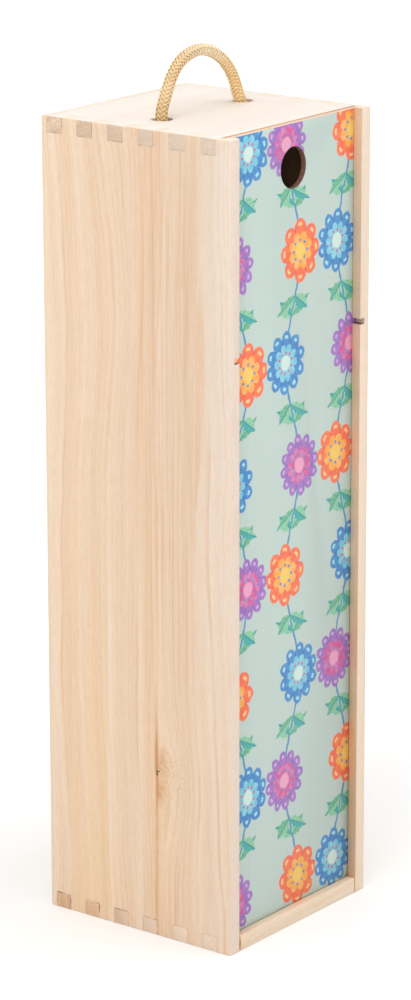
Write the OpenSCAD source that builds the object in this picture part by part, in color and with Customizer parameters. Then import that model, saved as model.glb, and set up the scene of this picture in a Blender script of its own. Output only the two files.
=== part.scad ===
// Upright wooden box for one wine bottle.
// Two side boards are finger-jointed to a top and a bottom board, a thin panel is let into
// the back, a printed panel slides up out of the front, and a knotted rope is the handle.
// Origin: the middle of the box's foot. The sliding panel faces -Y and +Z is up. Millimetres.

/* [Box] */
// Outer width, left to right
box_w = 98; // [92:1:130]
// Outer depth, front to back
box_d = 98; // [90:1:130]
// Height of the boards, without the rope
box_h = 350; // [300:5:420]

/* [Boards] */
// Thickness of the two side boards
side_t = 6.5; // [6:0.5:9]
// Thickness of the top and bottom boards
end_t = 7; // [5:0.5:10]
// Thickness of the back panel
back_t = 3; // [2:0.5:5]
// How far the back panel is let into each side board
back_let_in = 3.5; // [2:0.5:4.5]

/* [Finger joints] */
// Width of one finger and of one gap between fingers
finger_w = 8; // [6:0.5:12]

/* [Sliding panel] */
// Thickness of the sliding panel
panel_t = 2.6; // [2:0.1:4]
// Play between the panel and each wall of its groove
panel_play = 0.1; // [0.05:0.05:0.3]
// Play between each side edge of the panel and the bottom of its groove
panel_edge_play = 0.4; // [0.2:0.1:0.8]
// How far the panel's top edge lies below the top of the box
panel_drop = 0.5; // [0:0.1:2]
// Front-to-back depth of the lip in front of the groove
lip_d = 4.2; // [3:0.1:6]
// Depth of the grooves in the side boards
groove_deep = 3.3; // [2:0.1:4]
// Depth of the groove in the bottom board
sill_groove_deep = 2; // [1:0.5:3]
// Diameter of the finger hole in the panel
finger_hole_dia = 17.5; // [14:0.5:24]
// Centre of the finger hole below the top of the box
finger_hole_drop = 19; // [15:1:60]

/* [Neck rest] */
// Height of the cross slot's lower wall above the foot of the box
slot_z = 257.3; // [200:0.1:270]
// Height of the cross slot in the side boards
slot_h = 2.4; // [2:0.1:4]
// Play above the neck rest in its slots
neck_rest_play = 0.1; // [0.05:0.05:0.3]
// Play between each end of the neck rest and the bottom of its slot
neck_rest_end_play = 0.2; // [0.1:0.1:0.6]
// Front-to-back depth of the neck rest
neck_rest_d = 44; // [34:1:60]
// Diameter of the half-round seat for the bottle's neck
neck_seat_dia = 32; // [28:1:40]

/* [Rope handle] */
// Diameter of the rope
rope_dia = 5.5; // [4:0.5:6.5]
// Diameter of the two rope holes in the top board
rope_hole_dia = 9; // [8.8:0.1:12]
// Distance between the centres of the rope holes
rope_hole_gap = 55; // [54.8:0.1:55.4]
// Diameter of the stopper knots under the top board
knot_dia = 17; // [14:0.5:20]
// Height of a stopper knot
knot_h = 13; // [10:0.5:18]
// Rounding of a knot's shoulders
knot_round = 3.5; // [1:0.5:3.5]
// Length of the rope end that hangs out of a knot
rope_end_len = 7; // [4:1:20]

/* [Hidden] */

// How far a cut runs past the face that it opens
cut = 1;
// Facets of the true round shapes
round_fn = 96;

// Colours
pale_wood = [0.93, 0.85, 0.74];
light_ply = [0.90, 0.80, 0.66];
mint_print = [0.79, 0.86, 0.82];
cord_gold = [0.89, 0.77, 0.55];

// Levels from front to back
front_y = -box_d / 2;
groove_w = panel_t + 2 * panel_play;
groove_y = front_y + lip_d;
boards_y = groove_y + groove_w;
back_y = box_d / 2 - back_t;
joint_d = back_y - boards_y;

// Half widths
inner_x = box_w / 2 - side_t;
groove_x = inner_x + groove_deep;
panel_x = groove_x - panel_edge_play;
back_x = inner_x + back_let_in;
neck_rest_x = groove_x - neck_rest_end_play;

// Heights
top_under_z = box_h - end_t;
panel_z = end_t - sill_groove_deep;
panel_h = box_h - panel_drop - panel_z;
neck_rest_t = slot_h - neck_rest_play;

// Where the fingers start, counted from the front edge of the top board
finger_starts = [for (y = 0; y + finger_w / 2 <= joint_d; y = y + 2 * finger_w) y];

// The rope passes the top board in the middle of that board's depth
handle_y = (boards_y + back_y) / 2;
rope_sides = 12;

// Centreline of the rope's arch: x from the middle of the box, z above the top board
ARCH = [
    [-27.8, 3.3], [-26.8, 6], [-25.4, 9], [-23.6, 12.6], [-21.4, 16.2], [-18.7, 19.5],
    [-15.3, 22.2], [-11.3, 24.1], [-6.8, 25.2], [-2.3, 25.5], [2.1, 24.9], [6.6, 23.4],
    [11, 21.1], [14.8, 18.2], [18, 14.8], [20.6, 11.1], [22.6, 7.2], [24.2, 3.3],
];
// Centrelines in the rope holes, down to the knots: z above the top board
TAIL_LEFT = [[-28.1, 0], [-27.9, -2], [-27.6, -4], [-27.5, -5.6], [-27.5, -7]];
TAIL_RIGHT = [[26.2, 0], [26.7, -2], [27.2, -4], [27.5, -5.6], [27.5, -7]];

// ---------- rope ----------

function unit(v) = v / norm(v);
function along(p, i) = unit(p[min(i + 1, len(p) - 1)] - p[max(i - 1, 0)]);
// Places a route, given as x and height above the top board, in the box
function placed(route) = [for (p = route) [p[0], handle_y, box_h + p[1]]];
// One ring of the rope, square to its direction; every route lies in one plane of constant y
function ring(centre, direction, r) = [
    for (k = [0:rope_sides - 1])
        let (a = 360 * k / rope_sides)
        centre + r * (cos(a) * [0, 1, 0] + sin(a) * cross(direction, [0, 1, 0]))
];
// Rings that round off an end of the rope at the angles given, outwards along a direction
function end_rings(centre, direction, outward, angles) = [
    for (a = angles)
        ring(centre + outward * sin(a) * rope_dia / 2 * direction, direction, cos(a) * rope_dia / 2)
];

module skin(rings) {
    last = len(rings) - 1;
    points = [for (r = rings) each r];
    walls = [
        for (i = [0:last - 1], k = [0:rope_sides - 1])
            let (a = i * rope_sides + k, b = i * rope_sides + (k + 1) % rope_sides)
            [a, b, b + rope_sides, a + rope_sides]
    ];
    first_cap = [for (k = [rope_sides - 1:-1:0]) k];
    last_cap = [for (k = [0:rope_sides - 1]) last * rope_sides + k];
    polyhedron(points, concat(walls, [first_cap, last_cap]), convexity = 6);
}

module rope_tube(route, rounded) {
    p = placed(route);
    last = len(p) - 1;
    middle = [for (i = [0:last]) ring(p[i], along(p, i), rope_dia / 2)];
    start = rounded ? end_rings(p[0], along(p, 0), -1, [80, 55, 28]) : [];
    end = rounded ? end_rings(p[last], along(p, last), 1, [28, 55, 80]) : [];
    skin(concat(start, middle, end));
}

// A stopper knot as a barrel with rounded shoulders, and the rope end that hangs out of it
module knot(x) {
    flat_r = knot_dia / 2 - knot_round;
    lower = [for (a = [-90:15:0]) [flat_r + knot_round * cos(a), knot_round * (1 + sin(a))]];
    upper = [for (a = [0:15:90]) [flat_r + knot_round * cos(a), knot_h - knot_round * (1 - sin(a))]];
    translate([x, handle_y, top_under_z - knot_h]) {
        rotate_extrude($fn = round_fn) polygon(concat([[0, 0]], lower, upper, [[0, knot_h]]));
        translate([0, 0, -rope_end_len])
            cylinder(h = rope_end_len + cut, d = rope_dia, $fn = round_fn);
    }
}

// ---------- boards ----------

// The row of fingers at one end of a board, from x0 to x1, at heights z0 to z0 + end_t
module fingers(x0, x1, z0) {
    for (y = finger_starts)
        translate([x0, boards_y + y, z0])
            cube([x1 - x0, min(finger_w, joint_d - y), end_t]);
}

// The right-hand side board; the left one is its mirror image
module side_board() {
    difference() {
        translate([inner_x, front_y, 0]) cube([side_t, box_d, box_h]);
        // groove for the sliding panel, open at both ends
        translate([inner_x - cut, groove_y, -cut])
            cube([groove_deep + cut, groove_w, box_h + 2 * cut]);
        // rebate for the back panel
        translate([inner_x - cut, back_y, -cut])
            cube([back_let_in + cut, back_t + cut, box_h + 2 * cut]);
        // cross slot for the neck rest, cut right through the lip
        translate([inner_x - cut, front_y - cut, slot_z])
            cube([groove_deep + cut, box_d - back_t + cut, slot_h]);
        // sockets for the fingers of the top and bottom boards
        fingers(inner_x - cut, box_w / 2 + cut, top_under_z);
        fingers(inner_x - cut, box_w / 2 + cut, 0);
    }
}

module side_left() {
    color(pale_wood) mirror([1, 0, 0]) side_board();
}

module side_right() {
    color(pale_wood) side_board();
}

module top_board() {
    color(pale_wood) difference() {
        union() {
            translate([-inner_x, boards_y, top_under_z]) cube([2 * inner_x, joint_d, end_t]);
            fingers(-box_w / 2, box_w / 2, top_under_z);
        }
        for (x = [-1, 1])
            translate([x * rope_hole_gap / 2, handle_y, top_under_z - cut])
                cylinder(h = end_t + 2 * cut, d = rope_hole_dia, $fn = round_fn);
    }
}

module bottom_board() {
    color(pale_wood) difference() {
        union() {
            translate([-inner_x, front_y, 0]) cube([2 * inner_x, box_d - back_t, end_t]);
            fingers(-box_w / 2, box_w / 2, 0);
        }
        translate([-inner_x - cut, groove_y, panel_z])
            cube([2 * (inner_x + cut), groove_w, sill_groove_deep + cut]);
    }
}

module back_panel() {
    color(light_ply) translate([-back_x, back_y, 0]) cube([2 * back_x, back_t, box_h]);
}

module front_panel() {
    color(mint_print) difference() {
        translate([-panel_x, groove_y + panel_play, panel_z]) cube([2 * panel_x, panel_t, panel_h]);
        translate([0, boards_y + cut, box_h - finger_hole_drop])
            rotate([90, 0, 0]) cylinder(h = groove_w + 2 * cut, d = finger_hole_dia, $fn = round_fn);
    }
}

module neck_rest() {
    color(light_ply) difference() {
        translate([-neck_rest_x, back_y - neck_rest_d, slot_z])
            cube([2 * neck_rest_x, neck_rest_d, neck_rest_t]);
        translate([0, back_y - neck_rest_d, slot_z - cut])
            cylinder(h = neck_rest_t + 2 * cut, d = neck_seat_dia, $fn = round_fn);
    }
}

// ---------- rope handle ----------

module handle_rope() {
    color(cord_gold) rope_tube(ARCH, true);
}

module rope_tail_left() {
    color(cord_gold) rope_tube(TAIL_LEFT, false);
}

module rope_tail_right() {
    color(cord_gold) rope_tube(TAIL_RIGHT, false);
}

module rope_knot_left() {
    color(cord_gold) knot(-rope_hole_gap / 2);
}

module rope_knot_right() {
    color(cord_gold) knot(rope_hole_gap / 2);
}

side_left();
side_right();
top_board();
bottom_board();
back_panel();
front_panel();
neck_rest();
handle_rope();
rope_tail_left();
rope_tail_right();
rope_knot_left();
rope_knot_right();
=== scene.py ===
import math

import bpy
from mathutils import Matrix, Vector


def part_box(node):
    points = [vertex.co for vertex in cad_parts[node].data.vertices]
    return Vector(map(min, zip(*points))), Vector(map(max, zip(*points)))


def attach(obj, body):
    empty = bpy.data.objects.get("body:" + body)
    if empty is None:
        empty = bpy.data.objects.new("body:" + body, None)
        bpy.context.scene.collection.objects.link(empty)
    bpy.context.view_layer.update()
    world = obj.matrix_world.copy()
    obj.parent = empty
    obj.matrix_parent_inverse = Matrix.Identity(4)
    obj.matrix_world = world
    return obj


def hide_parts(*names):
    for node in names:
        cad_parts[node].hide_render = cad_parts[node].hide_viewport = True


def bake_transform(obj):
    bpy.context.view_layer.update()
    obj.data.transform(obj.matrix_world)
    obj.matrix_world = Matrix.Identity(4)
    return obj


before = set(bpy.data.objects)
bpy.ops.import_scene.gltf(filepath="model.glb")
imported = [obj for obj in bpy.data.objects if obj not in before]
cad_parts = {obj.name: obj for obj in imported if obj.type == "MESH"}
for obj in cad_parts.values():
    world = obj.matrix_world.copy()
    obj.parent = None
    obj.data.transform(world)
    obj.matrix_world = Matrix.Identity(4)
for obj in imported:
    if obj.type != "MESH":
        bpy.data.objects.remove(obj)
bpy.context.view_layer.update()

# An upright wooden wine box: two side boards finger-jointed to a top and a bottom board, a thin
# back, a printed panel that slides up out of the front, and a braided rope as its handle.
# Metres. The foot's middle is the origin, the sliding panel faces -Y and +Z is up.

MM = 0.001

# ---------- driving places, read from the frame ----------

SIDE_LOW, SIDE_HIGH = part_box("side_right")
TOP_LOW, TOP_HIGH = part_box("top_board")
SILL_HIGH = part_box("bottom_board")[1]
PANEL_LOW, PANEL_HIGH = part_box("front_panel")
REST_LOW, REST_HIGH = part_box("neck_rest")
KNOT_LOW, KNOT_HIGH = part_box("rope_knot_right")

BOX_X = SIDE_HIGH.x
BOX_Y = SIDE_HIGH.y
BOX_H = SIDE_HIGH.z
INNER_X = SIDE_LOW.x
BOARDS_Y = TOP_LOW.y
HANDLE_Y = (TOP_LOW.y + TOP_HIGH.y) / 2
MIDDLE = Vector((0, 0, BOX_H / 2))


# ---------- camera ----------

VIEW_AZIMUTH = math.radians(-52.57)
VIEW_ELEVATION = math.radians(15.95)
VIEW_ROLL = math.radians(-0.13)
VIEW_DISTANCE = 1.667
VIEW_RIGHT = -0.95 * MM
VIEW_UP = 6.2 * MM
VIEW_LENS = 140.2


def add_camera():
    """The camera looks at the middle of the boards, from the front left and a little above."""
    back = Vector((math.sin(VIEW_AZIMUTH) * math.cos(VIEW_ELEVATION),
                   -math.cos(VIEW_AZIMUTH) * math.cos(VIEW_ELEVATION),
                   math.sin(VIEW_ELEVATION)))
    level = Vector((0, 0, 1)).cross(back).normalized()
    upright = back.cross(level)
    right = level * math.cos(VIEW_ROLL) + upright * math.sin(VIEW_ROLL)
    up = upright * math.cos(VIEW_ROLL) - level * math.sin(VIEW_ROLL)
    data = bpy.data.cameras.new("camera")
    data.lens = VIEW_LENS
    data.sensor_width = 36
    data.clip_start = 0.05
    data.clip_end = 60
    camera = bpy.data.objects.new("camera", data)
    bpy.context.scene.collection.objects.link(camera)
    turned = Matrix((right, up, back)).transposed().to_4x4()
    turned.translation = MIDDLE + back * VIEW_DISTANCE + right * VIEW_RIGHT + up * VIEW_UP
    camera.matrix_world = turned
    bpy.context.scene.camera = camera


add_camera()
bpy.context.scene.view_settings.view_transform = "Standard"


# ---------- modelling helpers ----------

def take(obj):
    """Makes obj the one selected, active object, in object mode."""
    if bpy.context.mode != "OBJECT":
        bpy.ops.object.mode_set(mode="OBJECT")
    bpy.ops.object.select_all(action="DESELECT")
    obj.select_set(True)
    bpy.context.view_layer.objects.active = obj


def apply_modifiers(obj):
    take(obj)
    for modifier in list(obj.modifiers):
        bpy.ops.object.modifier_apply(modifier=modifier.name)


def new_object(name, mesh):
    obj = bpy.data.objects.new(name, mesh)
    bpy.context.scene.collection.objects.link(obj)
    return obj


def copy_of_node(node, name):
    """A copy of a CAD node whose mesh is merged into whole flat faces."""
    copy = new_object(name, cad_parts[node].data.copy())
    take(copy)
    bpy.ops.object.mode_set(mode="EDIT")
    bpy.ops.mesh.select_mode(type="EDGE")
    bpy.ops.mesh.select_all(action="SELECT")
    bpy.ops.mesh.remove_doubles(threshold=0.01 * MM)
    bpy.ops.mesh.dissolve_limited(angle_limit=math.radians(0.5))
    bpy.ops.object.mode_set(mode="OBJECT")
    return copy


def clear_selection(obj, kind):
    """Leaves obj in object mode with nothing of its mesh selected, ready to select by kind."""
    take(obj)
    bpy.ops.object.mode_set(mode="EDIT")
    bpy.ops.mesh.select_mode(type=kind)
    bpy.ops.mesh.select_all(action="DESELECT")
    bpy.ops.object.mode_set(mode="OBJECT")


def select_edges(obj, wanted):
    """Leaves obj in edit mode with the edges selected for which wanted(a, b, normals) is true."""
    clear_selection(obj, "EDGE")
    mesh = obj.data
    faces_of = {}
    for face in mesh.polygons:
        for key in face.edge_keys:
            faces_of.setdefault(key, []).append(face.normal)
    for edge in mesh.edges:
        a, b = (mesh.vertices[i].co for i in edge.vertices)
        edge.select = wanted(a, b, faces_of.get(edge.key, []))
    bpy.ops.object.mode_set(mode="EDIT")


def select_faces(obj, wanted):
    """Leaves obj in edit mode with the faces selected for which wanted(centre, normal) is true."""
    clear_selection(obj, "FACE")
    for face in obj.data.polygons:
        face.select = wanted(face.center, face.normal)
    bpy.ops.object.mode_set(mode="EDIT")


# ---------- easing of the boards' edges ----------

ARRIS = 0.6 * MM
JOINT_EDGE = 0.22 * MM
SILL_EDGE = 0.3 * MM
SILL_ROUND = 0.9 * MM
ON_PLANE = 0.05 * MM
SHARP = math.cos(math.radians(35))


def is_sharp(normals):
    return len(normals) == 2 and normals[0].dot(normals[1]) < SHARP


def outer_planes(p):
    """How many of the box's outer planes a point lies on."""
    return ((abs(abs(p.x) - BOX_X) < ON_PLANE) + (abs(abs(p.y) - BOX_Y) < ON_PLANE)
            + (abs(p.z) < ON_PLANE or abs(p.z - BOX_H) < ON_PLANE))


def board_easing(a, b):
    """Rounding of the edge from a to b: wide between two of the box's outer planes."""
    return ARRIS if outer_planes(a) >= 2 and outer_planes(b) >= 2 else JOINT_EDGE


def sill_easing(a, b):
    """The bottom board's front is rounded more than the rest, so that it shows as a sill."""
    if max(a.y, b.y) < -BOX_Y + ON_PLANE:
        return SILL_ROUND
    return max(board_easing(a, b), SILL_EDGE)


def ease_edges(obj, easing):
    """Rounds every sharp edge by the width that easing(a, b) gives for it."""
    for width in (SILL_ROUND, ARRIS, SILL_EDGE, JOINT_EDGE):
        select_edges(obj, lambda a, b, normals: is_sharp(normals) and easing(a, b) == width)
        bpy.ops.transform.edge_bevelweight(value=width / SILL_ROUND)
    bpy.ops.object.mode_set(mode="OBJECT")
    bevel = obj.modifiers.new("eased edges", "BEVEL")
    bevel.limit_method = "WEIGHT"
    bevel.width = SILL_ROUND
    bevel.segments = 2
    bevel.use_clamp_overlap = True
    weighted = obj.modifiers.new("flat faces", "WEIGHTED_NORMAL")
    weighted.keep_sharp = True
    apply_modifiers(obj)
    bpy.ops.object.shade_smooth_by_angle(angle=math.radians(40))


def paint_faces(obj, material, wanted):
    """Gives the faces that wanted(centre, normal) picks another material."""
    obj.data.materials.append(material)
    select_faces(obj, wanted)
    obj.active_material_index = len(obj.data.materials) - 1
    bpy.ops.object.material_slot_assign()
    bpy.ops.object.mode_set(mode="OBJECT")


def dress_node(node, name, material, body, easing=board_easing):
    """An eased copy of a CAD node in its material, which stands for the node."""
    obj = copy_of_node(node, name)
    obj.data.materials.clear()
    obj.data.materials.append(material)
    ease_edges(obj, easing)
    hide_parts(node)
    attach(obj, body)
    return obj


# ---------- shader helpers ----------

def tree_of(*values):
    """The node tree of the first of the values that a node puts out."""
    return next(value.id_data for value in values if isinstance(value, bpy.types.NodeSocket))


def fill(socket, value):
    """Links a node's output to a socket, or sets the socket to a plain value."""
    if isinstance(value, bpy.types.NodeSocket):
        socket.id_data.links.new(value, socket)
    else:
        socket.default_value = value


def put(tree, kind, inputs=(), out=0, **settings):
    """Adds a shader node with its settings, fills its inputs, and returns one of its outputs."""
    made = tree.nodes.new("ShaderNode" + kind)
    for name, value in settings.items():
        setattr(made, name, value)
    pairs = inputs.items() if isinstance(inputs, dict) else enumerate(inputs)
    for key, value in pairs:
        fill(made.inputs[key], value)
    return made.outputs[out]


def maths(operation, *values):
    return put(tree_of(*values), "Math", values, operation=operation)


def times(value, *factors):
    for factor in factors:
        value = maths("MULTIPLY", value, factor)
    return value


def plus(a, b):
    return maths("ADD", a, b)


def minus(a, b):
    return maths("SUBTRACT", a, b)


def scaled(value, factor, shift):
    """value times factor, plus shift."""
    return maths("MULTIPLY_ADD", value, factor, shift)


def size_of(value):
    return maths("ABSOLUTE", value)


def bell(value, centre, width):
    """1 where value is centre, falling almost to 0 within two widths on both sides."""
    away = maths("DIVIDE", minus(value, centre), width)
    return maths("EXPONENT", times(away, away, -1.0))


def clamped(value, low, high, to_low=0.0, to_high=1.0, curve="LINEAR"):
    """value from low..high mapped to to_low..to_high, with nothing beyond."""
    return put(tree_of(value), "MapRange", (value, low, high, to_low, to_high),
               interpolation_type=curve, clamp=True)


def smooth(value, low, high, to_low=0.0, to_high=1.0):
    """As clamped, with a soft start and end."""
    return clamped(value, low, high, to_low, to_high, curve="SMOOTHSTEP")


def joined(x, y, z):
    return put(tree_of(x, y, z), "CombineXYZ", (x, y, z))


def split(vector):
    made = tree_of(vector).nodes.new("ShaderNodeSeparateXYZ")
    fill(made.inputs[0], vector)
    return made.outputs[0], made.outputs[1], made.outputs[2]


def noise(vector, scale=1.0, detail=2.0, rough=0.5):
    return put(tree_of(vector), "TexNoise",
               {"Vector": vector, "Scale": scale, "Detail": detail, "Roughness": rough})


def noise_line(value, scale, detail=2.0, rough=0.5):
    """Noise along one number."""
    return put(tree_of(value), "TexNoise",
               {"W": value, "Scale": scale, "Detail": detail, "Roughness": rough},
               noise_dimensions="1D")


def long_noise(place, across, along, shift=0.0, detail=2.0, rough=0.5):
    """Noise drawn out along Z; across and along say how fine it is in each direction."""
    x, y, z = place
    drawn_out = joined(times(x, across), times(y, across), scaled(z, along, shift))
    return noise(drawn_out, detail=detail, rough=rough)


def mixed(factor, a, b, blend="MIX"):
    """Colour a, going over to colour b by factor."""
    return put(tree_of(factor, a, b), "Mix", {0: factor, 6: a, 7: b}, out=2,
               data_type="RGBA", blend_type=blend)


def ramp(value, *stops):
    """A colour that changes with value through stops, each a place from 0 to 1 and a colour."""
    made = tree_of(value).nodes.new("ShaderNodeValToRGB")
    fill(made.inputs[0], value)
    elements = made.color_ramp.elements
    for element, (place, colour) in ((elements[0], stops[0]), (elements[1], stops[-1])):
        element.position, element.color = place, colour
    for place, colour in stops[1:-1]:
        elements.new(place).color = colour
    return made.outputs[0]


def srgb(red, green, blue):
    """A colour given as 0 to 255 on a screen, as the shader's linear values."""
    def linear(channel):
        share = channel / 255
        return share / 12.92 if share <= 0.04045 else ((share + 0.055) / 1.055) ** 2.4
    return (linear(red), linear(green), linear(blue), 1.0)


def new_group(name, vectors, numbers, outputs):
    """An empty node group with these inputs, and these numbers as its outputs."""
    group = bpy.data.node_groups.new(name, "ShaderNodeTree")
    for labels, way, kind in ((vectors, "INPUT", "Vector"), (numbers, "INPUT", "Float"),
                              (outputs, "OUTPUT", "Float")):
        for label in labels:
            group.interface.new_socket(label, in_out=way, socket_type="NodeSocket" + kind)
    source = group.nodes.new("NodeGroupInput")
    target = group.nodes.new("NodeGroupOutput")
    return group, source.outputs, target.inputs


def give(result, **values):
    """Links a group's values to its outputs by name."""
    for name, value in values.items():
        fill(result[name], value)


def use_group(tree, group, inputs):
    """Places a node group in a material and returns its outputs."""
    made = tree.nodes.new("ShaderNodeGroup")
    made.node_tree = group
    for name, value in inputs.items():
        fill(made.inputs[name], value)
    return made.outputs


def new_material(name):
    """A material's tree and its Principled shader."""
    material = bpy.data.materials.new(name)
    material.use_nodes = True
    tree = material.node_tree
    tree.nodes.clear()
    shader = tree.nodes.new("ShaderNodeBsdfPrincipled")
    target = tree.nodes.new("ShaderNodeOutputMaterial")
    fill(target.inputs[0], shader.outputs[0])
    return material, tree, shader


def coordinates(tree):
    """A point of the surface, as it lies on the whole object, and the way the surface faces."""
    made = tree.nodes.new("ShaderNodeTexCoord")
    return made.outputs["Object"], made.outputs["Normal"]


def finish_shader(shader, colour, roughness, height, depth, specular=0.5):
    """Gives a shader its colour, roughness and gloss, and a relief that is depth metres deep."""
    fill(shader.inputs["Base Color"], colour)
    fill(shader.inputs["Roughness"], roughness)
    shader.inputs["Specular IOR Level"].default_value = specular
    bump = put(tree_of(height), "Bump",
               {"Strength": 1.0, "Distance": depth, "Height": height})
    fill(shader.inputs["Normal"], bump)


def tint(shader, mask, colour):
    """Multiplies a finished shader's colour by another one where mask says so."""
    socket = shader.inputs["Base Color"]
    fill(socket, mixed(mask, socket.links[0].from_socket, colour, blend="MULTIPLY"))


# ---------- timber ----------

def make_timber_group():
    """Figure of a sawn board. Place has the board's length along Z and its width along X, and
    Facing is the surface's normal turned the same way. Rings run round a pith that lies Depth
    behind the board's middle and Pith to one side of it."""
    group, given, result = new_group(
        "timber", ("Place", "Facing"), ("Pith", "Depth", "Push", "Seed"),
        ("Band", "Line", "Fibre", "Mottle", "End", "Edge", "Pore", "Relief"))
    place = split(given["Place"])
    x, y, z = place
    seed = given["Seed"]

    # the board's lines wander, ripple and fray from side to side along its length
    wander = minus(long_noise(place, 9.0, 4.4, seed, detail=1.5), 0.5)
    ripple = minus(long_noise(place, 30.0, 21.0, seed, detail=1.0), 0.5)
    fuzz = minus(long_noise(place, 500.0, 110.0, detail=3.0, rough=0.6), 0.5)
    across = plus(scaled(wander, 30 * MM, x), given["Push"])
    across = scaled(ripple, 4 * MM, across)
    across = scaled(fuzz, 0.9 * MM, across)

    # distance from the pith gives the growth rings
    from_pith = minus(across, given["Pith"])
    behind = plus(y, given["Depth"])
    squares = plus(times(from_pith, from_pith), times(behind, behind))
    radius = maths("POWER", squares, 0.5)
    ring = plus(scaled(z, 0.02, radius), seed)

    broad = clamped(noise_line(ring, 60.0, detail=1.0), 0.28, 0.72)
    middling = clamped(noise_line(ring, 260.0, detail=2.0, rough=0.6), 0.3, 0.7)
    band = scaled(broad, 0.5, times(middling, 0.5))
    # each line fades in and out along the board
    fade = long_noise(place, 320.0, 13.0, seed, detail=3.0, rough=0.6)
    fade = clamped(fade, 0.4, 0.62, 0.25, 1.0)
    thick = clamped(noise_line(ring, 420.0, detail=2.0), 0.54, 0.8)
    thin = clamped(noise_line(ring, 1100.0, detail=1.0), 0.52, 0.78)
    line = times(maths("MAXIMUM", thick, times(thin, 0.75)), fade)

    # short fibres along the board, and a soft cloudiness
    fibre = long_noise((across, y, z), 1500.0, 300.0, detail=3.0, rough=0.7)
    fibre = clamped(fibre, 0.3, 0.7)
    mottle = clamped(long_noise(place, 240.0, 90.0, detail=4.0, rough=0.65), 0.3, 0.7)

    # sawn-off ends show the rings and open pores
    side_on, _, end_on = split(given["Facing"])
    end = smooth(size_of(end_on), 0.6, 0.85)
    edge = smooth(size_of(side_on), 0.6, 0.85)
    pore = clamped(noise(joined(x, y, times(z, 0.2)), 2300.0, detail=3.0), 0.42, 0.66)

    long_relief = scaled(fibre, -0.6, times(line, -0.6))
    end_relief = times(pore, -1.2)
    both = put(group, "Mix", {"Factor": end, "A": long_relief, "B": end_relief})
    give(result, Band=band, Line=line, Fibre=fibre, Mottle=mottle, End=end, Edge=edge, Pore=pore,
         Relief=both)
    return group


def make_knot_group():
    """A small knot with a dark streak along the grain. Across runs over the board's face from the
    streak towards the side where the grain bulges, and Along runs up the board."""
    group, given, result = new_group(
        "wood_knot", (), ("Across", "Along"),
        ("Push", "Lines", "Streak", "Stain", "Curl", "Heart"))
    across, along = given["Across"], given["Along"]

    def spot(up, height, out, width, sideways=across):
        """A soft spot in millimetres: its place and its size up the board, then across it."""
        return times(bell(along, up * MM, height * MM), bell(sideways, out * MM, width * MM))

    # the grain swings round the knot on one side only, and curls in its lee
    beside = smooth(across, -0.5 * MM, 5 * MM)
    near = spot(1, 8.5, 7, 8)
    loose = joined(across, along, 0.0)
    curl = minus(noise(loose, 170.0), 0.5)
    swing = plus(times(spot(-4, 27, 11, 14), -9 * MM), times(near, curl, 26 * MM))
    loops = plus(noise(loose, 130.0, detail=1.0), times(across, 40.0))
    loops = size_of(maths("SINE", times(loops, 30.0)))

    # a long streak and a short one run along the grain through the knot
    from_line = plus(across, times(minus(noise_line(along, 60.0), 0.5), 0.9 * MM))
    patchy = clamped(noise_line(along, 130.0), 0.3, 0.6, 0.45, 1.0)
    long_streak = times(spot(-24, 52, 0, 0.75, from_line), 0.62, patchy)
    short_streak = times(spot(6, 19, 0, 0.9, from_line), 0.8)

    # stained wood above and below the knot, and its torn dark heart with a branch
    ragged = clamped(noise(loose, 420.0, detail=3.0), 0.35, 0.65, 0.35, 1.0)
    stain = maths("MAXIMUM", spot(4.5, 5, 2, 3), spot(-8, 6, 1.6, 3))
    torn = times(minus(noise(loose, 900.0), 0.5), 1.1)
    heart = maths("MAXIMUM", spot(0, 1.7, 0.15, 0.5, from_line), spot(0.9, 0.4, 1, 1))
    give(result,
         Push=times(swing, beside),
         Lines=times(spot(-8, 44, 12, 12), beside),
         Streak=maths("MINIMUM", plus(long_streak, short_streak), 1.0),
         Stain=times(stain, smooth(across, -0.9 * MM, 0.2 * MM), ragged),
         Curl=times(smooth(loops, 0.35, 0.1), near),
         Heart=smooth(plus(heart, torn), 0.45, 0.75))
    return group


TIMBER = make_timber_group()
WOOD_KNOT = make_knot_group()

# The knot's place on the left side board, and how strongly each of its marks is coloured
WOOD_KNOT_Y = -10 * MM
WOOD_KNOT_Z = 74 * MM
WOOD_KNOT_MARKS = (
    ("Stain", 0.85, srgb(208, 154, 104)), ("Curl", 0.6, srgb(212, 164, 118)),
    ("Streak", 0.9, srgb(204, 142, 86)), ("Heart", 1.0, srgb(74, 40, 26)))

# Turns that bring a board's length to Z and its width to X
UPRIGHT_FRONT = (0, 0, 0)
UPRIGHT_SIDE = (0, 0, math.radians(90))
CROSSWISE_LEVEL = (0, math.radians(-90), 0)

# A side board's pale wood and its bands, from its back edge to its front edge
SIDE_PALE = ((0.0, srgb(249, 233, 213)), (0.14, srgb(247, 227, 206)), (0.62, srgb(242, 222, 204)),
             (0.82, srgb(238, 220, 201)), (0.93, srgb(242, 230, 218)))
SIDE_BAND = ((0.0, srgb(243, 219, 191)), (0.14, srgb(239, 210, 180)), (0.62, srgb(234, 203, 173)),
             (0.82, srgb(228, 200, 171)), (0.93, srgb(236, 219, 202)))
SIDE_LINE = srgb(218, 166, 112)
SIDE_ENDS = (srgb(249, 236, 221), srgb(240, 220, 200))

# Pairs of colours laid over that wood and its bands: in the lower half, and in streaks
LOW_COLOURS = (srgb(245, 222, 198), srgb(239, 207, 174))
HONEY_COLOURS = (srgb(250, 222, 178), srgb(244, 206, 152))
BROWN_COLOURS = (srgb(220, 180, 143), srgb(214, 172, 135))
CREAM_COLOURS = (srgb(249, 233, 214), srgb(245, 226, 204))


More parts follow.
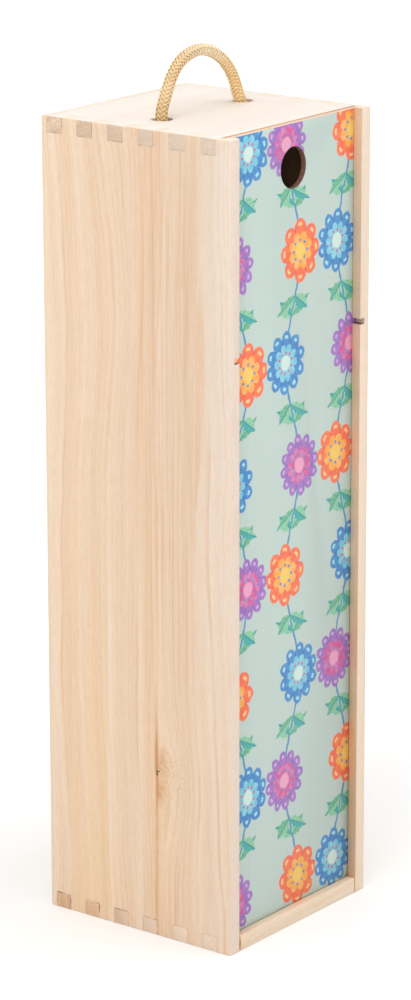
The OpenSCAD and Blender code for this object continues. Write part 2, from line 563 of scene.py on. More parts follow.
def timber_shader(tree, shader, turn, face, ends, edge, seed, pith, depth, knot=None):
    """Joins the timber figure to a shader. turn brings the board's length to Z and its width to X.
    face is the pale, band and line colours, ends the pale and dark ones, edge a colour or None."""
    place, facing = coordinates(tree)
    place = put(tree, "Mapping", {"Vector": place, "Rotation": turn})
    facing = put(tree, "Mapping", {"Vector": facing, "Rotation": turn}, vector_type="NORMAL")
    inputs = {"Place": place, "Facing": facing, "Pith": pith, "Depth": depth, "Seed": seed}
    if knot:
        inputs["Push"] = knot["Push"]
    figure = use_group(tree, TIMBER, inputs)
    pale, band, line = face
    colour = mixed(figure["Band"], pale, band)
    colour = mixed(times(figure["Mottle"], 0.3), colour, band)
    if edge:
        colour = mixed(times(figure["Edge"], 0.75), colour, edge)
    strength = times(figure["Line"], scaled(figure["Edge"], -0.35, 0.5))
    if knot:
        strength = times(strength, scaled(knot["Lines"], 0.9, 1.0))
    colour = mixed(strength, colour, line)
    colour = mixed(times(figure["Fibre"], 0.24), colour, line)
    if knot:
        for mark, share, stain in WOOD_KNOT_MARKS:
            colour = mixed(times(knot[mark], share), colour, stain)
    end_pale, end_dark = ends
    end_face = mixed(figure["Band"], end_pale, end_dark)
    end_face = mixed(times(figure["Mottle"], 0.3), end_face, end_dark)
    end_face = mixed(times(figure["Pore"], 0.75), end_face, end_dark)
    colour = mixed(figure["End"], colour, end_face)
    finish_shader(shader, colour, clamped(figure["Fibre"], 0.0, 1.0, 0.58, 0.72),
                  figure["Relief"], 0.025 * MM, specular=0.35)


def side_board_material(name, seed, edge, cream, with_knot=False):
    """A side board: warmer towards the back, paler at its front edge, and browner inside its lip,
    where shade is painted.
    cream lists its palest streaks, each by its place, half width and top."""
    material, tree, shader = new_material(name)
    x, y, z = split(coordinates(tree)[0])
    low = smooth(z, BOX_H * 0.75, BOX_H * 0.2)
    forward = scaled(low, 0.06, clamped(y, BOX_Y, -BOX_Y))

    # the lower half has honey-coloured streaks, most of them towards the back
    honey = clamped(noise(joined(0.0, times(y, 130.0), scaled(z, 5.0, seed))), 0.42, 0.66)
    honey = times(honey, scaled(low, 0.33, 0.1), clamped(forward, 0.5, 0.9, 1.0, 0.3))
    layers = [(times(low, 0.4), LOW_COLOURS), (honey, HONEY_COLOURS)]

    knot = None
    if with_knot:
        made = use_group(tree, WOOD_KNOT, {
            "Across": scaled(y, -1.0, WOOD_KNOT_Y), "Along": minus(z, WOOD_KNOT_Z)})
        knot = dict(made.items())
        # near the top the grain leans towards the back, where it shows more
        leaning = times(smooth(z, BOX_H - 95 * MM, BOX_H + 15 * MM),
                        smooth(y, -20 * MM, 20 * MM))
        knot["Push"] = scaled(leaning, 11 * MM, made["Push"])
        knot["Lines"] = scaled(leaning, 0.3, made["Lines"])
        # fine brown streaks stand together in front of the middle, away from the knot
        streak = clamped(noise(joined(0.0, times(y, 700.0), scaled(z, 11.0, seed))), 0.46, 0.7)
        there = times(smooth(y, 8 * MM, -12 * MM), smooth(y, -38 * MM, -24 * MM))
        clear = smooth(size_of(minus(z, WOOD_KNOT_Z)), 26 * MM, 60 * MM)
        layers.append((times(streak, there, clear, 0.55), BROWN_COLOURS))
    for centre, width, high in cream:
        upwards = smooth(z, high, high * 0.6, 0.0, 0.6)
        layers.append((times(bell(y, centre, width), upwards), CREAM_COLOURS))

    pale, band = ramp(forward, *SIDE_PALE), ramp(forward, *SIDE_BAND)
    for mask, (over_pale, over_band) in layers:
        pale = mixed(mask, pale, over_pale)
        band = mixed(mask, band, over_band)
    timber_shader(tree, shader, UPRIGHT_SIDE, face=(pale, band, SIDE_LINE), ends=SIDE_ENDS,
                  edge=edge, seed=seed, pith=35 * MM, depth=45 * MM, knot=knot)

    # the lip's inner face is browner than the rest: painted shade in the recess beside the panel
    inward = smooth(size_of(x), INNER_X + 0.2 * MM, INNER_X)
    on_lip = smooth(y, PANEL_HIGH.y, PANEL_LOW.y)
    near_foot = smooth(z, 32 * MM, 8 * MM)
    tint(shader, times(inward, on_lip),
         mixed(near_foot, srgb(238, 222, 206), srgb(240, 222, 208)))
    return material


def crosswise_material(name, seed, face, ends_back, ends_front):
    """A top or bottom board, whose length runs from side to side; its ends are paler at the
    front."""
    material, tree, shader = new_material(name)
    y = split(coordinates(tree)[0])[1]
    forward = smooth(y, BOX_Y * 0.75, -BOX_Y * 0.35)
    ends = [mixed(forward, back, front) for back, front in zip(ends_back, ends_front)]
    timber_shader(tree, shader, CROSSWISE_LEVEL, face=face, ends=ends, edge=None,
                  seed=seed, pith=-20 * MM, depth=50 * MM)
    return material


def tint_sill(material):
    """The sill's top is a little darker in front of the sliding front, and warmer on the right with
    a painted warm reflection; both its ends are darkened with painted shade beside the side boards."""
    tree = material.node_tree
    shader = next(node for node in tree.nodes if node.type == "BSDF_PRINCIPLED")
    place, facing = coordinates(tree)
    x, y, _ = split(place)
    in_front = smooth(y, PANEL_HIGH.y, PANEL_LOW.y)
    top_face = times(smooth(split(facing)[2], 0.8, 1.0), in_front)
    # warmer on the right: a painted warm reflection
    on_right = smooth(x, 10 * MM, 34 * MM)
    tint(shader, top_face, mixed(on_right, srgb(248, 246, 242), srgb(255, 247, 238)))
    # painted shade at both ends, beside the side boards
    at_ends = smooth(size_of(x), INNER_X - 2 * MM, INNER_X - 0.3 * MM)
    tint(shader, times(at_ends, in_front), srgb(250, 236, 216))


def ply_material(name, turn, seed, ends):
    """Thin poplar ply: a rotary-cut face and sawn edges, ends being their pale and dark colours."""
    material, tree, shader = new_material(name)
    face = (srgb(243, 224, 198), srgb(233, 207, 176), srgb(214, 176, 138))
    timber_shader(tree, shader, turn, face=face, ends=ends, edge=srgb(238, 216, 190),
                  seed=seed, pith=10 * MM, depth=20 * MM)
    return material


def burnt_material(name, pale, dark):
    """The browned wall of a cut."""
    material, tree, shader = new_material(name)
    soot = clamped(noise(coordinates(tree)[0], 900.0, detail=3.0), 0.3, 0.7)
    finish_shader(shader, mixed(soot, pale, dark), 0.8, soot, 0.05 * MM)
    return material


def seam_material(name, pale, dark, scale, fades=False):
    """An eased edge along a joint, darkened in patches: by glue round the finger ends, and by
    painted shade in the gaps along the sill. Where it fades, the edges are paler towards the front,
    apart from the level ones of the top board."""
    material, tree, shader = new_material(name)
    place, facing = coordinates(tree)
    patch = clamped(noise(place, scale, detail=3.0, rough=0.6), 0.4, 0.62)
    if fades:
        _, y, z = split(place)
        forward = smooth(y, BOX_Y * 0.5, -BOX_Y * 0.7, 1.0, 0.15)
        level = smooth(size_of(split(facing)[2]), 0.2, 0.5)
        level = times(level, smooth(z, BOX_H * 0.4, BOX_H * 0.6))
        patch = times(patch, maths("MAXIMUM", forward, level))
    finish_shader(shader, mixed(patch, pale, dark), 0.8, patch, 0.03 * MM)
    return material


LEFT_WOOD = side_board_material(
    "side_board_left_wood", 1.37, srgb(243, 226, 212),
    ((-1 * MM, 2.2 * MM, 230 * MM), (15 * MM, 2 * MM, 200 * MM), (46 * MM, 2.6 * MM, 330 * MM)),
    with_knot=True)
RIGHT_WOOD = side_board_material(
    "side_board_right_wood", 4.61, srgb(249, 231, 210),
    ((20 * MM, 1.8 * MM, 260 * MM), (-16 * MM, 1.4 * MM, 160 * MM)))
# the top board's face is paler than the other boards': a painted highlight for the light that falls
# on the top
TOP_WOOD = crosswise_material(
    "top_board_wood", 2.2, (srgb(243, 236, 229), srgb(237, 227, 217), srgb(225, 204, 186)),
    (srgb(244, 218, 192), srgb(206, 172, 142)), (srgb(236, 217, 198), srgb(216, 192, 169)))
SILL_WOOD = crosswise_material(
    "bottom_board_wood", 7.9, (srgb(253, 241, 223), srgb(238, 213, 182), srgb(214, 172, 132)),
    (srgb(244, 208, 172), srgb(200, 158, 122)), (srgb(246, 225, 204), srgb(226, 200, 175)))
tint_sill(SILL_WOOD)
BACK_PLY = ply_material("back_ply", UPRIGHT_FRONT, 3.3,
                        (srgb(246, 236, 226), srgb(238, 222, 206)))
FRONT_PLY = ply_material("front_ply", UPRIGHT_FRONT, 6.1,
                         (srgb(240, 216, 192), srgb(224, 194, 166)))
REST_PLY = ply_material("neck_rest_ply", CROSSWISE_LEVEL, 5.9,
                        (srgb(240, 220, 196), srgb(224, 196, 168)))
SEAM_BROWN = seam_material("browned_seam", srgb(234, 204, 174), srgb(128, 84, 56), 230.0,
                           fades=True)
# the sill's seams along the sliding front and beside both side boards are painted shade in their
# gaps
DARK_SEAM = seam_material("dark_seam", srgb(150, 108, 80), srgb(84, 52, 36), 90.0)
SILL_SEAM = seam_material("sill_end_seam", srgb(220, 178, 142), srgb(166, 120, 88), 160.0)
SILL_RIGHT_SHADE = seam_material("sill_right_end_shade", srgb(240, 208, 172), srgb(218, 176, 134), 160.0)
# the slot walls' brown is partly the cut's own colour and partly painted shade in the slots
CUT_BROWN = burnt_material("browned_cut", srgb(158, 122, 94), srgb(110, 80, 62))
HOLE_BROWN = burnt_material("burnt_hole_wall", srgb(152, 109, 90), srgb(110, 73, 58))
EDGE_BROWN = burnt_material("browned_edge", srgb(212, 158, 124), srgb(192, 138, 106))


# ---------- printed front ----------

PRINT_COLUMN = 36 * MM
PRINT_ROW = 46 * MM
PRINT_START = PRINT_ROW * 0.42
PRINT_SWAY = 5 * MM
BLOSSOM = 13.6 * MM
SOFT_EDGE = 0.025
ROWS_BELOW = 8.0

MINT = srgb(198, 215, 208)
MINT_WORN = srgb(191, 208, 200)
STEM_BLUE = srgb(94, 152, 190)
LEAF_GREEN = srgb(122, 190, 148)
LEAF_TEAL = srgb(84, 178, 170)
LEAF_LIGHT = srgb(150, 208, 168)
VEIN_BLUE = srgb(70, 150, 164)

# Each of a blossom's inks in the three palettes: coral, blue and lilac
INKS = {
    "Petal": (srgb(252, 130, 92), srgb(88, 152, 208), srgb(172, 128, 198)),
    "Shade": (srgb(240, 104, 82), srgb(64, 124, 190), srgb(146, 104, 184)),
    "Inner": (srgb(252, 176, 78), srgb(122, 200, 222), srgb(224, 92, 150)),
    "Heart": (srgb(250, 208, 110), srgb(214, 236, 226), srgb(240, 170, 200)),
    "Dot": (srgb(86, 146, 205), srgb(226, 82, 142), srgb(78, 150, 208)),
    "Gleam": (srgb(254, 208, 150), srgb(176, 226, 234), srgb(212, 176, 224)),
}

# The leaves between two blossoms, each by its turn in degrees, its height and its ink. A leaf's
# teeth are given in radians along the whole leaf, and its slanting veins in radians a metre.
LEAVES = ((38, -3.5 * MM, LEAF_GREEN), (146, -3.5 * MM, LEAF_TEAL),
          (-30, 4.5 * MM, LEAF_TEAL), (214, 4.5 * MM, LEAF_GREEN))
LEAF_LENGTH = 12.5 * MM
LEAF_WIDTH = 3 * MM
LEAF_TEETH = 15.7
TWIG_PACE = 1250.0


def make_blossom_group():
    """A printed blossom seen from above, centred on Place, in masks for its inks."""
    group, given, result = new_group(
        "printed_blossom", ("Place",), ("Radius", "Petals", "Turn"),
        ("Petal", "Shade", "Inner", "Heart", "Dot", "Gleam"))
    x, _, z = split(given["Place"])
    radius = maths("POWER", plus(times(x, x), times(z, z)), 0.5)
    share = maths("DIVIDE", radius, given["Radius"])
    angle = plus(maths("ARCTAN2", z, x), given["Turn"])
    half = times(angle, given["Petals"], 0.5)
    wave = size_of(maths("COSINE", half))
    other = size_of(maths("SINE", half))

    def inside(limit):
        return smooth(minus(share, limit), SOFT_EDGE, -SOFT_EDGE)

    edge = scaled(maths("POWER", wave, 0.55), 0.3, 0.7)
    inner_edge = scaled(maths("POWER", other, 0.6), 0.2, 0.4)
    ring = smooth(size_of(minus(share, 0.33)), 0.055, 0.03)
    rim = smooth(size_of(minus(maths("DIVIDE", share, edge), 0.82)), 0.07, 0.03)
    give(result, Petal=inside(edge), Inner=inside(inner_edge), Heart=inside(0.24),
         Shade=times(smooth(wave, 0.3, 0.12), smooth(share, 0.45, 0.6)),
         Dot=times(ring, smooth(wave, 0.8, 0.9)),
         Gleam=times(rim, smooth(wave, 0.84, 0.93)))
    return group


def make_leaf_group():
    """A printed leaf that grows from Place's origin along the direction of Turn."""
    group, given, result = new_group(
        "printed_leaf", ("Place",), ("Turn", "Length", "Width"), ("Leaf", "Vein", "Light"))
    x, _, z = split(given["Place"])
    cosine, sine = maths("COSINE", given["Turn"]), maths("SINE", given["Turn"])
    along = plus(times(x, cosine), times(z, sine))
    side = minus(times(z, cosine), times(x, sine))
    out = size_of(side)

    # a pointed leaf with a toothed edge
    share = maths("DIVIDE", along, given["Length"])
    within = times(maths("GREATER_THAN", share, 0.0), maths("LESS_THAN", share, 1.0))
    notch = scaled(size_of(maths("SINE", times(share, LEAF_TEETH))), 0.22, 0.78)
    swell = times(maths("POWER", maths("MAXIMUM", share, 0.0), 0.8), math.pi)
    edge = times(maths("SINE", swell), given["Width"], notch)
    leaf = times(smooth(minus(out, edge), 0.12 * MM, -0.12 * MM), within)

    # its middle vein, its slanting ones and its lighter half
    slanted = size_of(maths("SINE", times(minus(along, times(out, 0.8)), TWIG_PACE)))
    twigs = times(smooth(slanted, 0.25, 0.1), 0.7)
    middle = smooth(out, 0.35 * MM, 0.15 * MM)
    give(result, Leaf=leaf, Vein=times(maths("MAXIMUM", middle, twigs), leaf),
         Light=times(smooth(side, -0.4 * MM, 0.4 * MM), leaf))
    return group


BLOSSOM_PRINT = make_blossom_group()
LEAF_PRINT = make_leaf_group()


def choose_ink(palette, inks):
    """One ink of the three palettes, by the palette's number 0, 1 or 2."""
    coral, blue, lilac = inks
    first = mixed(maths("GREATER_THAN", palette, 0.5), coral, blue)
    return mixed(maths("GREATER_THAN", palette, 1.5), first, lilac)


def print_material():
    """Blossoms on swaying stems, in three columns whose blossoms stand in level rows."""
    material, tree, shader = new_material("printed_front")
    place, _ = coordinates(tree)
    x, _, z = split(place)
    # a hand-painted edge: the inks' outlines wobble a little
    wobble = times(minus(noise(place, 260.0), 0.5), 1.6 * MM)
    x = plus(x, wobble)
    z = plus(z, times(wobble, -0.8))

    column = maths("ROUND", maths("DIVIDE", x, PRINT_COLUMN))
    from_column = minus(x, times(column, PRINT_COLUMN))
    up = maths("DIVIDE", minus(z, PRINT_START), PRINT_ROW)
    row = maths("ROUND", up)

    def sway(height):
        """How far a column's stem stands to one side at a height in rows."""
        return times(maths("COSINE", scaled(column, math.pi, times(height, math.pi))), PRINT_SWAY)

    from_stem = minus(from_column, sway(up))
    stem = smooth(size_of(from_stem), 0.75 * MM, 0.5 * MM)

    # a blossom on each row
    palette = maths("FLOORED_MODULO", plus(times(row, 2.0), column), 3.0)
    centre = joined(minus(from_column, sway(row)), 0.0, times(minus(up, row), PRINT_ROW))
    blossom = use_group(tree, BLOSSOM_PRINT, {
        "Place": centre, "Radius": BLOSSOM, "Petals": scaled(palette, 2.0, 8.0), "Turn": palette})
    inks = {name: choose_ink(palette, colours) for name, colours in INKS.items()}

    # inks, one over the other, on a ground through which the ply shows faintly
    ground_grain = noise(joined(times(x, 900.0), 0.0, times(z, 12.0)))
    colour = mixed(clamped(ground_grain, 0.3, 0.7, 0.0, 0.35), MINT, MINT_WORN)
    colour = mixed(stem, colour, STEM_BLUE)
    # leaves halfway between two rows, counted from whole rows below the foot
    half_row = minus(maths("FRACT", plus(up, ROWS_BELOW)), 0.5)
    for turn, rise, ink in LEAVES:
        here = joined(from_stem, 0.0, minus(times(half_row, PRINT_ROW), rise))
        leaf = use_group(tree, LEAF_PRINT, {"Place": here, "Turn": math.radians(turn),
                                            "Length": LEAF_LENGTH, "Width": LEAF_WIDTH})
        colour = mixed(leaf["Leaf"], colour, mixed(leaf["Light"], ink, LEAF_LIGHT))
        colour = mixed(leaf["Vein"], colour, VEIN_BLUE)
    mottle = clamped(noise(place, 330.0, detail=3.0), 0.42, 0.6)
    petal = mixed(times(mottle, 0.5), inks["Petal"], inks["Shade"])
    petal = mixed(blossom["Shade"], petal, inks["Shade"])
    inner = mixed(times(mottle, 0.45), inks["Inner"], inks["Gleam"])
    for mark, ink in (("Petal", petal), ("Gleam", inks["Gleam"]), ("Inner", inner),
                      ("Dot", inks["Dot"]), ("Heart", inks["Heart"])):
        colour = mixed(blossom[mark], colour, ink)
    finish_shader(shader, colour, 0.5, ground_grain, 0.015 * MM, specular=0.3)
    return material


# ---------- rope ----------

ROPE_DIA = 5.5 * MM
BRAID_STRANDS = 8
BRAID_PITCH = 14.4 * MM
STRAND_WEAVE = 0.42 * MM
STRAND_HALF_WIDTH = 0.62 * MM
STRAND_HALF_THICK = 0.33 * MM
STRAND_RADIUS = ROPE_DIA / 2 - STRAND_WEAVE - STRAND_HALF_THICK
STRAND_STEP = 0.28 * MM
STRAND_SIDES = 6
CORE_RADIUS = STRAND_RADIUS + 0.05 * MM
CORE_SIDES = 16
CURVE_STEPS = 40

# Centrelines as x from the middle of the box and z above the top board, in millimetres
TAIL_LEFT = [(-27.5, -7), (-27.5, -5.6), (-27.6, -4), (-27.9, -2), (-28.1, 0)]
ARCH = [
    (-27.8, 3.3), (-26.8, 6), (-25.4, 9), (-23.6, 12.6), (-21.4, 16.2), (-18.7, 19.5),
    (-15.3, 22.2), (-11.3, 24.1), (-6.8, 25.2), (-2.3, 25.5), (2.1, 24.9), (6.6, 23.4),
    (11, 21.1), (14.8, 18.2), (18, 14.8), (20.6, 11.1), (22.6, 7.2), (24.2, 3.3),
]
TAIL_RIGHT = [(26.2, 0), (26.7, -2), (27.2, -4), (27.5, -5.6), (27.5, -7)]

# The stopper knots: how often the rope goes round, how far down it winds, the points of its
# route, the share of it that eases in and out, and the step of its strands
KNOT_TURNS = 2.15
KNOT_DROP = 7.2 * MM
KNOT_POINTS = 26
KNOT_EASE = 0.16
KNOT_STEP = STRAND_STEP * 1.3


def route_length(route):
    return sum((q - p).length for p, q in zip(route, route[1:]))


def smooth_route(points, step):
    """Points a step apart along a smooth curve through the points."""
    dense = []
    last = len(points) - 1
    for i in range(last):
        a, b, c, d = (points[min(max(i + k, 0), last)] for k in (-1, 0, 1, 2))
        for n in range(CURVE_STEPS):
            t = n / CURVE_STEPS
            dense.append(0.5 * (2 * b + (c - a) * t + (2 * a - 5 * b + 4 * c - d) * t ** 2
                                + (3 * b - a - 3 * c + d) * t ** 3))
    dense.append(points[last])
    total = route_length(dense)
    count = max(2, round(total / step))
    spacing = total / count
    route, walked, target = [dense[0]], 0.0, spacing
    for p, q in zip(dense, dense[1:]):
        length = (q - p).length
        while length > 0 and walked + length >= target and len(route) < count:
            route.append(p.lerp(q, (target - walked) / length))
            target += spacing
        walked += length
    route.append(dense[-1])
    return route


def route_frames(route):
    """For each point of a route: the point, and two directions square to the route, which don't
    twist from one point to the next."""
    frames = []
    side = None
    for i, point in enumerate(route):
        ahead = (route[min(i + 1, len(route) - 1)] - route[max(i - 1, 0)]).normalized()
        if side is None:
            side = ahead.orthogonal().normalized()
        side = (side - ahead * side.dot(ahead)).normalized()
        frames.append((point, side, ahead.cross(side)))
    return frames


def strand_rings(frames, way, start):
    """The rings of a strand that winds one way, 1 or -1, round the rope from the angle start."""
    rings = []
    walked = 0.0
    for i, (point, side, up) in enumerate(frames):
        if i:
            walked += (point - frames[i - 1][0]).length
        angle = start + way * 2 * math.pi * walked / BRAID_PITCH
        out = side * math.cos(angle) + up * math.sin(angle)
        weave = math.cos(angle * BRAID_STRANDS / 2 - math.pi / 4)
        reach = STRAND_RADIUS + way * STRAND_WEAVE * weave
        ahead = side.cross(up)
        around = ahead.cross(out)
        lead = ahead * BRAID_PITCH + around * (way * 2 * math.pi * STRAND_RADIUS)
        rings.append((point + out * reach, out, lead.normalized().cross(out)))
    return rings


def tube(rings, wide, thick, sides):
    """Vertices and faces of a closed tube. Each ring is its centre and two directions, along
    which the tube is thick and wide to each side."""
    verts, faces = [], []
    for centre, out, around in rings:
        for k in range(sides):
            angle = 2 * math.pi * k / sides
            verts.append(centre + around * (wide * math.cos(angle))
                         + out * (thick * math.sin(angle)))
    last = (len(rings) - 1) * sides
    for base in range(0, last, sides):
        for k in range(sides):
            a, b = base + k, base + (k + 1) % sides
            faces.append((a, b, b + sides, a + sides))
    faces.append(tuple(range(sides - 1, -1, -1)))
    faces.append(tuple(range(last, last + sides)))
    return verts, faces


def braided_mesh(name, route):
    """A braid of strands that wind both ways round a route, each over two others and under two,
    so that they show as columns of slanting stitches along the rope."""
    frames = route_frames(route)
    tubes = [(strand_rings(frames, way, 2 * math.pi * strand / BRAID_STRANDS),
              STRAND_HALF_WIDTH, STRAND_HALF_THICK, STRAND_SIDES)
             for way in (1, -1) for strand in range(BRAID_STRANDS)]
    tubes.append((frames, CORE_RADIUS, CORE_RADIUS, CORE_SIDES))
    verts, faces, corners = [], [], []
    for rings, wide, thick, sides in tubes:
        base = len(verts)
        on_strand = 0.0 if rings is frames else 1.0
        part_verts, part_faces = tube(rings, wide, thick, sides)
        verts.extend(tuple(v) for v in part_verts)
        for face in part_faces:
            faces.append(tuple(base + v for v in face))
            corners.extend((STRAND_STEP * (v // sides), (v % sides) / sides, on_strand)
                           for v in face)

    mesh = bpy.data.meshes.new(name)
    mesh.from_pydata(verts, [], faces)
    # a new attribute moves the older ones in memory, so the first is filled before the second
    layer = mesh.uv_layers.new(name="strand")
    layer.data.foreach_set("uv", [value for corner in corners for value in corner[:2]])
    mark = mesh.attributes.new("strand_mark", "FLOAT", "CORNER")
    mark.data.foreach_set("value", [corner[2] for corner in corners])
    obj = new_object(name, mesh)
    take(obj)
    bpy.ops.object.mode_set(mode="EDIT")
    bpy.ops.mesh.select_all(action="SELECT")
    bpy.ops.mesh.normals_make_consistent(inside=False)
    bpy.ops.object.mode_set(mode="OBJECT")
    bpy.ops.object.shade_smooth()
    return obj


def rope_material():
    """Cotton yarn: fibres along each strand, darker in the gaps between the strands, where shade is
    painted.
    """
    material, tree, shader = new_material("braided_cotton")
    along, around, _ = split(put(tree, "UVMap", uv_map="strand"))
    on_strand = put(tree, "Attribute", attribute_name="strand_mark", out=2)
    place, _ = coordinates(tree)
    x, _, z = split(place)
    fibres = clamped(noise(joined(times(along, 900.0), times(around, 26.0), 0.0)), 0.3, 0.7)
    patch = clamped(noise(place, 330.0, detail=3.0), 0.35, 0.65)
    yarn = mixed(fibres, srgb(253, 219, 160), srgb(255, 238, 198))
    yarn = mixed(times(patch, 0.35), yarn, srgb(250, 206, 146))
    # a strand is darker along its two edges, where it dips under its neighbours: painted shade
    flank = smooth(size_of(maths("COSINE", times(around, 2 * math.pi))), 0.55, 1.0)
    yarn = mixed(times(flank, 0.2), yarn, srgb(236, 176, 104))
    # painted light over the top of the arch, painted shade at the foot and shoulder of its left
    # leg, and painted warm shade down its right leg
    lit_arch_top = times(smooth(z, BOX_H + 14 * MM, BOX_H + 25 * MM, 0.0, 0.4),
                     smooth(x, -22 * MM, -8 * MM))
    yarn = mixed(lit_arch_top, yarn, srgb(255, 243, 214))
    on_left = smooth(x, 2 * MM, -10 * MM)
    at_foot = times(on_left, smooth(z, BOX_H + 15 * MM, BOX_H + 3 * MM))
    on_shoulder = times(on_left, smooth(z, BOX_H + 11 * MM, BOX_H + 18 * MM))
    right_leg = smooth(x, 6 * MM, 18 * MM)
    for mask, painted_light in ((at_foot, srgb(234, 224, 210)), (on_shoulder, srgb(243, 236, 229)),
                       (right_leg, srgb(255, 248, 234))):
        yarn = mixed(mask, yarn, painted_light, blend="MULTIPLY")
    # the core, seen in the gaps between the strands, is a darker orange: painted shade
    finish_shader(shader, mixed(on_strand, srgb(248, 204, 146), yarn), 0.75, fibres, 0.08 * MM)
    shader.inputs["Sheen Weight"].default_value = 0.3
    return material


def make_rope():
    """The rope from knot to knot, in one piece whose route curves where it leaves its holes."""
    points = [Vector((x * MM, HANDLE_Y, BOX_H + z * MM)) for x, z in TAIL_LEFT + ARCH + TAIL_RIGHT]
    route = smooth_route(points, STRAND_STEP)
    rope = braided_mesh("handle_cord", route)
    rope.data.materials.append(ROPE_YARN)
    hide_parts("handle_rope", "rope_tail_left", "rope_tail_right")
    return rope, route


def knot_route(x, hand):
    """The rope in a stopper knot: down through the middle, round itself twice and out below."""
    middle = Vector((x, HANDLE_Y, 0))
    reach = (KNOT_HIGH.x - KNOT_LOW.x) / 2 - ROPE_DIA / 2
    top = TOP_LOW.z - ROPE_DIA / 2
    points = []
    for i in range(KNOT_POINTS + 1):
        share = i / KNOT_POINTS
        angle = hand * 2 * math.pi * KNOT_TURNS * share
        ease_in = min(1.0, share / KNOT_EASE, (1 - share) / KNOT_EASE)
        away = reach * (0.45 + 0.55 * math.sin(ease_in * math.pi / 2))
        points.append(middle + Vector((math.cos(angle) * away, math.sin(angle) * away,
                                       top - KNOT_DROP * share)))
    return points


def make_knot(name, node, side):
    """A stopper knot under the top board, on the left, side -1, or on the right, side 1."""
    x = side * (KNOT_LOW.x + KNOT_HIGH.x) / 2
    wraps = braided_mesh(name, smooth_route(knot_route(x, -side), KNOT_STEP))
    heights = (TOP_LOW.z, (TOP_LOW.z + KNOT_LOW.z) / 2, KNOT_LOW.z)
    end_points = [Vector((x, HANDLE_Y, z)) for z in heights]
    end = braided_mesh("knot_end", smooth_route(end_points, KNOT_STEP))
    take(wraps)
    end.select_set(True)
    bpy.ops.object.join()
    wraps.data.materials.append(ROPE_YARN)
    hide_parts(node)
    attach(wraps, "box")
    return wraps


ROPE_YARN = rope_material()
rope, rope_route = make_rope()
knots = [make_knot("stopper_knot_left", "rope_knot_left", -1),
         make_knot("stopper_knot_right", "rope_knot_right", 1)]
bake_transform(rope)


# ---------- boards ----------

left = dress_node("side_left", "left_side_board", LEFT_WOOD, "box")
right = dress_node("side_right", "right_side_board", RIGHT_WOOD, "box")
top = dress_node("top_board", "lid_board", TOP_WOOD, "box")
sill = dress_node("bottom_board", "foot_board", SILL_WOOD, "box", easing=sill_easing)
dress_node("back_panel", "back_ply_panel", BACK_PLY, "box")
dress_node("neck_rest", "bottle_neck_rest", REST_PLY, "box")
panel = dress_node("front_panel", "sliding_front", FRONT_PLY, "panel")

FINGER_HOLE_Z = BOX_H - 19 * MM
FINGER_HOLE_RADIUS = 8.75 * MM

# Along an axis, an eased edge's normal has a part between these two
SLIGHT_TURN = 0.02
NEARLY_SQUARE = 0.995


def on_front(c, n):
    """The printed face of the sliding front."""
    return n.y < -0.5


def in_slot(c, n):
    """The upper and lower walls of the slots that hold the neck rest."""
    return (abs(n.z) > 0.7 and REST_LOW.z - 1 * MM < c.z < REST_HIGH.z + 1 * MM
            and abs(c.x) < BOX_X - ARRIS)


def on_top_front(c, n):
    """The top board's front edge, behind the sliding front."""
    return n.y < -0.7 and abs(c.y - BOARDS_Y) < 0.2 * MM


def in_side_seam(c, n):
    """The eased edges round the finger ends of the top and bottom boards."""
    return (abs(c.x) > BOX_X - 0.3 * MM and SLIGHT_TURN < abs(n.x) < NEARLY_SQUARE
            and 0.6 * MM < c.z < BOX_H - 0.6 * MM)


def at_sill_end(side):
    """The sill's rounded edge beside the left side board, side -1, or the right one, side 1."""
    return lambda c, n: (side * c.x > INNER_X - SILL_ROUND and abs(n.x) > SLIGHT_TURN
                         and c.y < PANEL_LOW.y)


def at_panel_foot(c, n):
    """The sill's eased edge along the sliding front."""
    return (c.z > SILL_HIGH.z - SILL_EDGE and abs(c.y - PANEL_LOW.y) < 0.5 * MM
            and abs(n.z) < NEARLY_SQUARE)


def in_finger_hole(c, n):
    """The wall of the finger hole."""
    return abs(n.y) < 0.5 and math.hypot(c.x, c.z - FINGER_HOLE_Z) < FINGER_HOLE_RADIUS + ARRIS


paint_faces(panel, print_material(), on_front)
# the slot walls: the cut's own brown, partly painted shade
for side_board in (left, right):
    paint_faces(side_board, CUT_BROWN, in_slot)
paint_faces(top, EDGE_BROWN, on_top_front)
for board in (top, sill):
    paint_faces(board, SEAM_BROWN, in_side_seam)
# painted shade in the gaps at the sill's two ends and along the foot of the sliding front
paint_faces(sill, SILL_SEAM, at_sill_end(-1))
paint_faces(sill, SILL_RIGHT_SHADE, at_sill_end(1))
paint_faces(sill, DARK_SEAM, at_panel_foot)
paint_faces(panel, HOLE_BROWN, in_finger_hole)


# ---------- floor, light ----------

WHITE = (1, 1, 1, 1)
FLOOR_COLOUR = (0.86, 0.86, 0.86, 1)
FLOOR_SIZE = 8
WORLD_LIGHT = 0.62

# The floor's own light, as seen: from near the box's foot to far from it
GLOW_NEAR, GLOW_FAR = 0.08, 0.9
GLOW_LEAST, GLOW_MOST = 0.16, 0.75

# Soft boxes, each by its name, azimuth, elevation, distance, size and power
LAMPS = (("left_soft_box", -75, 38, 1.8, 1.4, 11), ("right_soft_box", 35, 30, 1.8, 1.4, 6.5),
         ("overhead_soft_box", -30, 86, 1.6, 1.3, 7.5))


def looked_at(tree, *rays):
    """1 for a ray of one of these kinds, 0 for any other."""
    seen = tree.nodes.new("ShaderNodeLightPath").outputs
    mask = seen[rays[0]]
    for ray in rays[1:]:
        mask = maths("MAXIMUM", mask, seen[ray])
    return mask


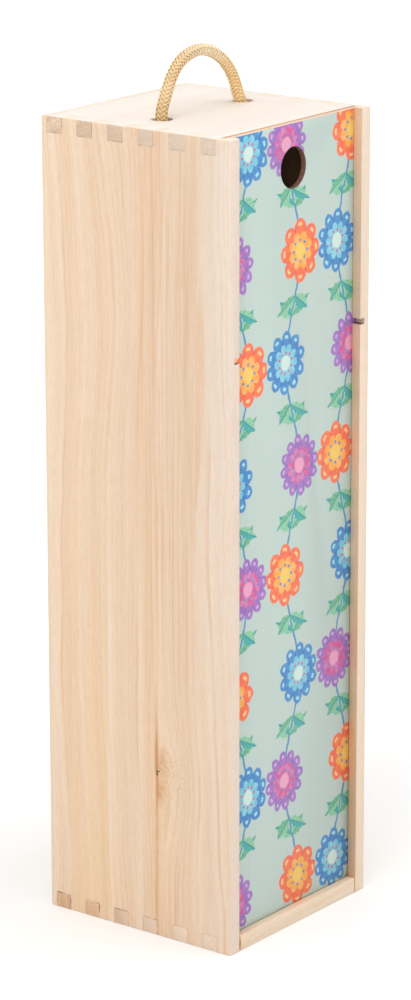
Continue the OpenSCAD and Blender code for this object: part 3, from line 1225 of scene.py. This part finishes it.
def add_floor():
    """A pale floor that stays white far from the lamps and keeps the box's shadow."""
    bpy.ops.mesh.primitive_plane_add(size=FLOOR_SIZE, location=(0, 0, 0))
    floor = bpy.context.active_object
    floor.name = "floor"
    take(floor)
    bpy.ops.object.transform_apply(location=True, rotation=True, scale=True)
    material, tree, shader = new_material("pale_floor")
    shader.inputs["Base Color"].default_value = FLOOR_COLOUR
    shader.inputs["Roughness"].default_value = 0.9
    shader.inputs["Specular IOR Level"].default_value = 0.1
    place, _ = coordinates(tree)
    away = put(tree, "VectorMath", (place,), out=1, operation="LENGTH")
    white = smooth(away, GLOW_NEAR, GLOW_FAR, GLOW_LEAST, GLOW_MOST)
    glow = times(looked_at(tree, "Is Camera Ray", "Is Glossy Ray"), white)
    glow = put(tree, "Emission", {"Color": WHITE, "Strength": glow})
    both = put(tree, "AddShader", (shader.outputs[0], glow))
    target = next(node for node in tree.nodes if node.type == "OUTPUT_MATERIAL")
    fill(target.inputs[0], both)
    floor.data.materials.append(material)


def add_world():
    world = bpy.data.worlds.new("studio")
    bpy.context.scene.world = world
    world.use_nodes = True
    tree = world.node_tree
    tree.nodes.clear()
    seen = looked_at(tree, "Is Camera Ray", "Is Glossy Ray", "Is Transmission Ray")
    strength = clamped(seen, 0.0, 1.0, WORLD_LIGHT, 1.0)
    background = put(tree, "Background", {"Color": WHITE, "Strength": strength})
    target = tree.nodes.new("ShaderNodeOutputWorld")
    fill(target.inputs[0], background)


def add_lamp(name, azimuth, elevation, distance, size, power):
    """A square soft box aimed at the middle of the box."""
    data = bpy.data.lights.new(name, "AREA")
    data.shape = "SQUARE"
    data.size = size
    data.energy = power
    lamp = bpy.data.objects.new(name, data)
    bpy.context.scene.collection.objects.link(lamp)
    a, e = math.radians(azimuth), math.radians(elevation)
    away = Vector((math.sin(a) * math.cos(e), -math.cos(a) * math.cos(e), math.sin(e)))
    lamp.location = MIDDLE + away * distance
    lamp.rotation_euler = away.to_track_quat("Z", "Y").to_euler()


add_floor()
add_world()
for lamp in LAMPS:
    add_lamp(*lamp)
